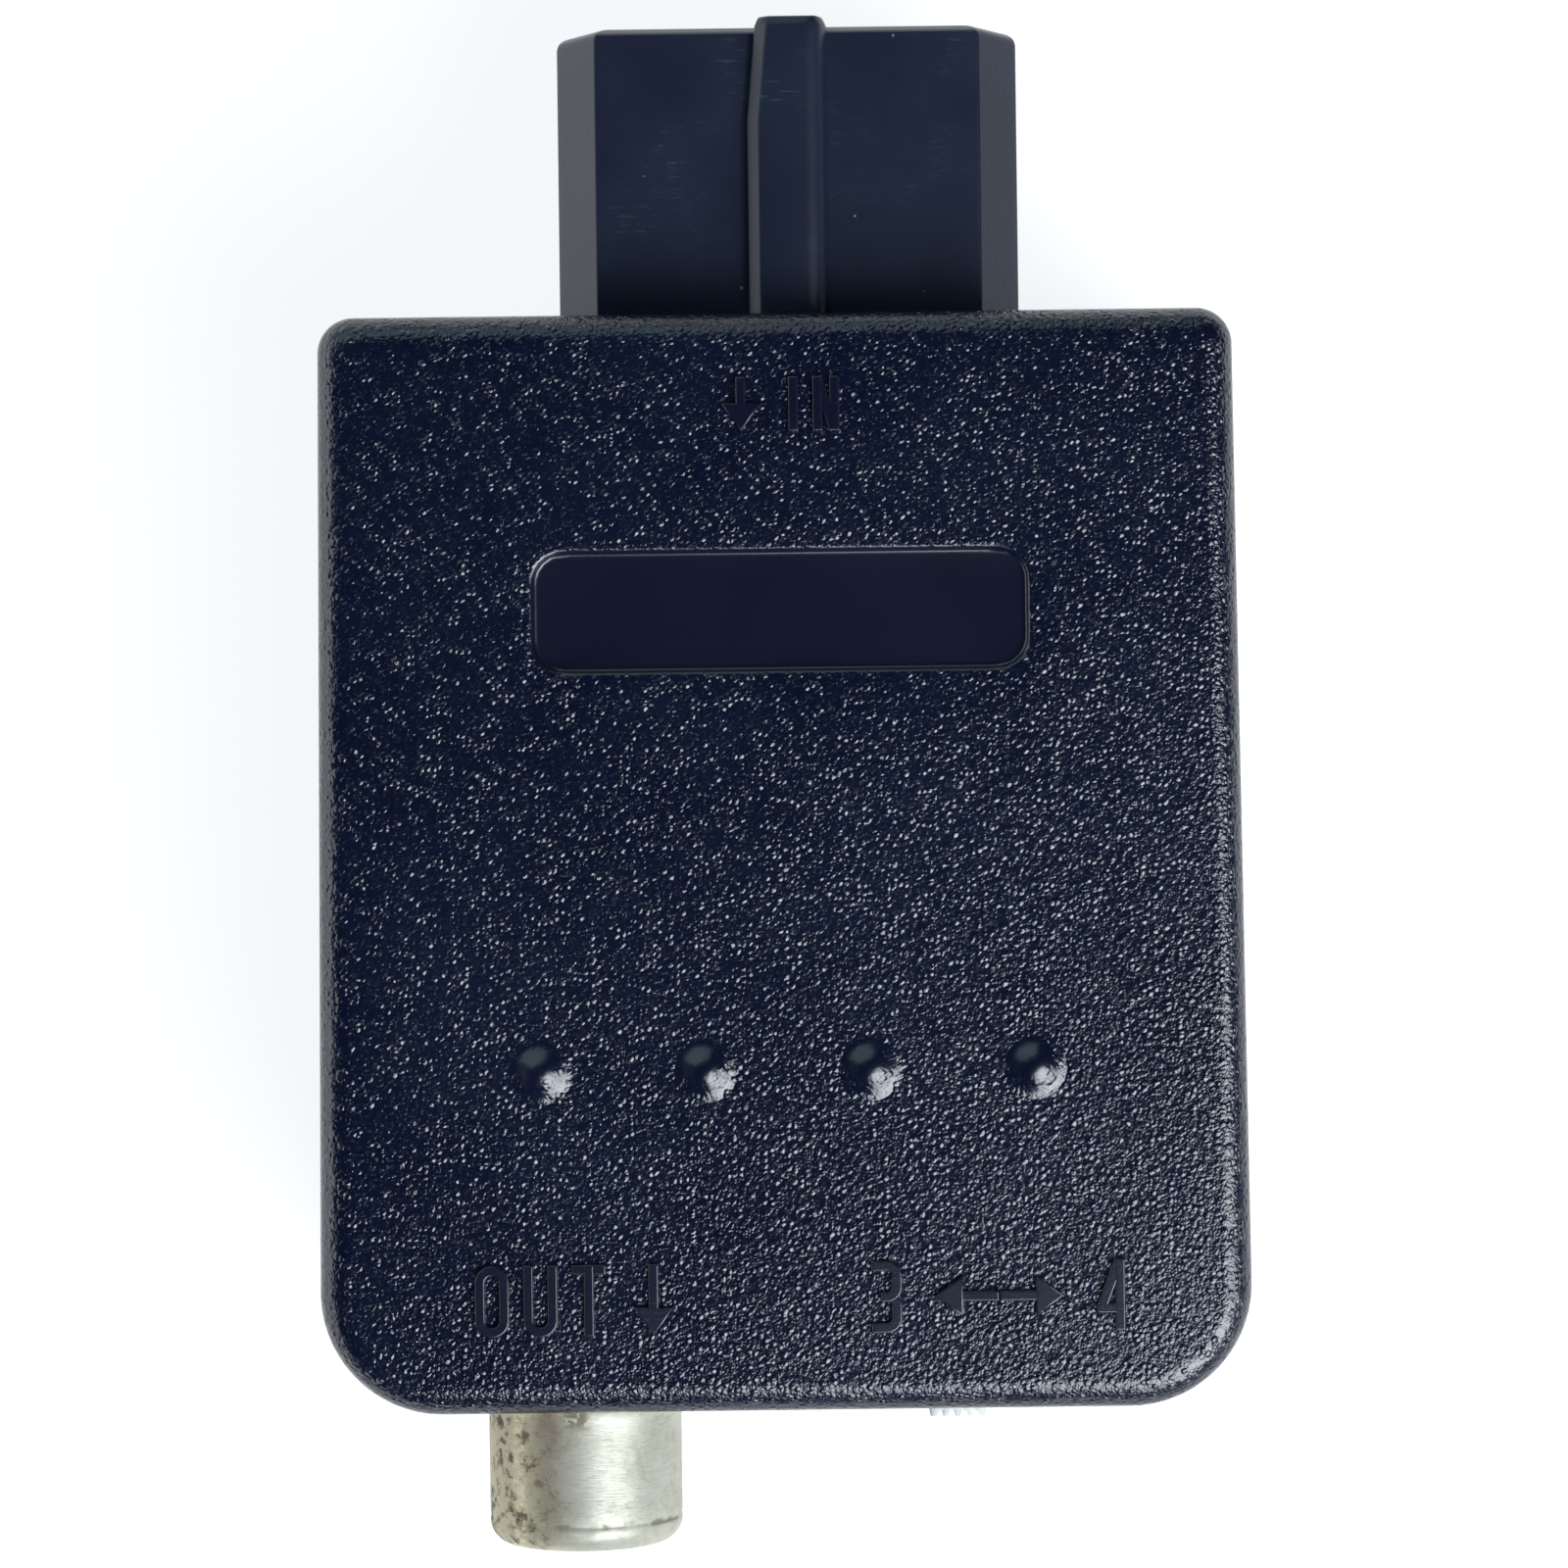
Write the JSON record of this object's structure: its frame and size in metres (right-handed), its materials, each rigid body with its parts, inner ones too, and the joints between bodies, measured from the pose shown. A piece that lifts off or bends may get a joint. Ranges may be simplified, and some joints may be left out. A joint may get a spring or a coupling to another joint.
{
  "type": "rf modulator",
  "caption": "Small flat case that plugs into a console's flat output socket and gives an aerial signal at a phono jack, with a two-way channel slide switch.",
  "frame": {"origin": "middle of the case's back face", "axes": "+X to the right, +Y towards the plug's tip, +Z out of the front face"},
  "size_m": [0.0386, 0.0648, 0.0181],
  "materials": {
    "case_plastic": "black moulding with a fine pebble grain",
    "plug_plastic": "black moulding, satin",
    "screw_steel": "zinc plated",
    "retainer_plastic": "moulded",
    "contact_metal": "sprung strip, gold flashed",
    "board_laminate": "phenolic laminate",
    "green_laminate": "coated laminate",
    "tinned_sheet": "tinned steel sheet",
    "chip_plastic": "moulded",
    "part_ceramic": "dipped",
    "former_plastic": "moulded",
    "copper_wire": "enamelled",
    "ferrite": "sintered",
    "plated_sleeve": "dull nickel plate with a few spots of tarnish",
    "insulator_plastic": "moulded",
    "knob_plastic": "moulded, pale grey",
    "capacitor_sleeve": "shrunk sleeve"
  },
  "bodies": {
    "case_body": {"front_shell": "case_plastic", "rear_shell": "case_plastic", "case_screws": "screw_steel", "plug_housing": "plug_plastic", "contact_retainer": "retainer_plastic", "plug_contacts": "contact_metal", "circuit_board": "board_laminate", "modulator_can": "tinned_sheet", "can_front_lid": "tinned_sheet", "can_rear_lid": "tinned_sheet", "modulator_board": "green_laminate", "modulator_chip": "chip_plastic", "chip_parts": "part_ceramic", "ceramic_filter": "part_ceramic", "coil_former": "former_plastic", "coil_winding": "copper_wire", "feed_pins": "contact_metal", "jack_sleeve": "plated_sleeve", "jack_insulator": "insulator_plastic", "jack_contact": "contact_metal", "switch_frame": "tinned_sheet", "switch_base": "board_laminate", "switch_terminals": "contact_metal", "electrolytic_capacitors": "capacitor_sleeve", "ceramic_capacitors": "part_ceramic", "resistors": "part_ceramic", "transistors": "chip_plastic", "choke": "ferrite"},
    "switch_knob": {"switch_slider": "knob_plastic", "switch_wiper": "contact_metal"},
    "tuning_core": {"tuning_slug": "ferrite"}
  },
  "joints": [
    {"name": "channel_slide", "type": "slide", "parent": "case_body", "child": "switch_knob", "axis": [1, 0, 0], "range_m": [0, 0.003]},
    {"name": "slug_turn", "type": "hinge", "parent": "case_body", "child": "tuning_core", "pos_m": [-0.004, -0.0125, 0.0094], "axis": [0, 0, 1], "continuous": true}
  ]
}
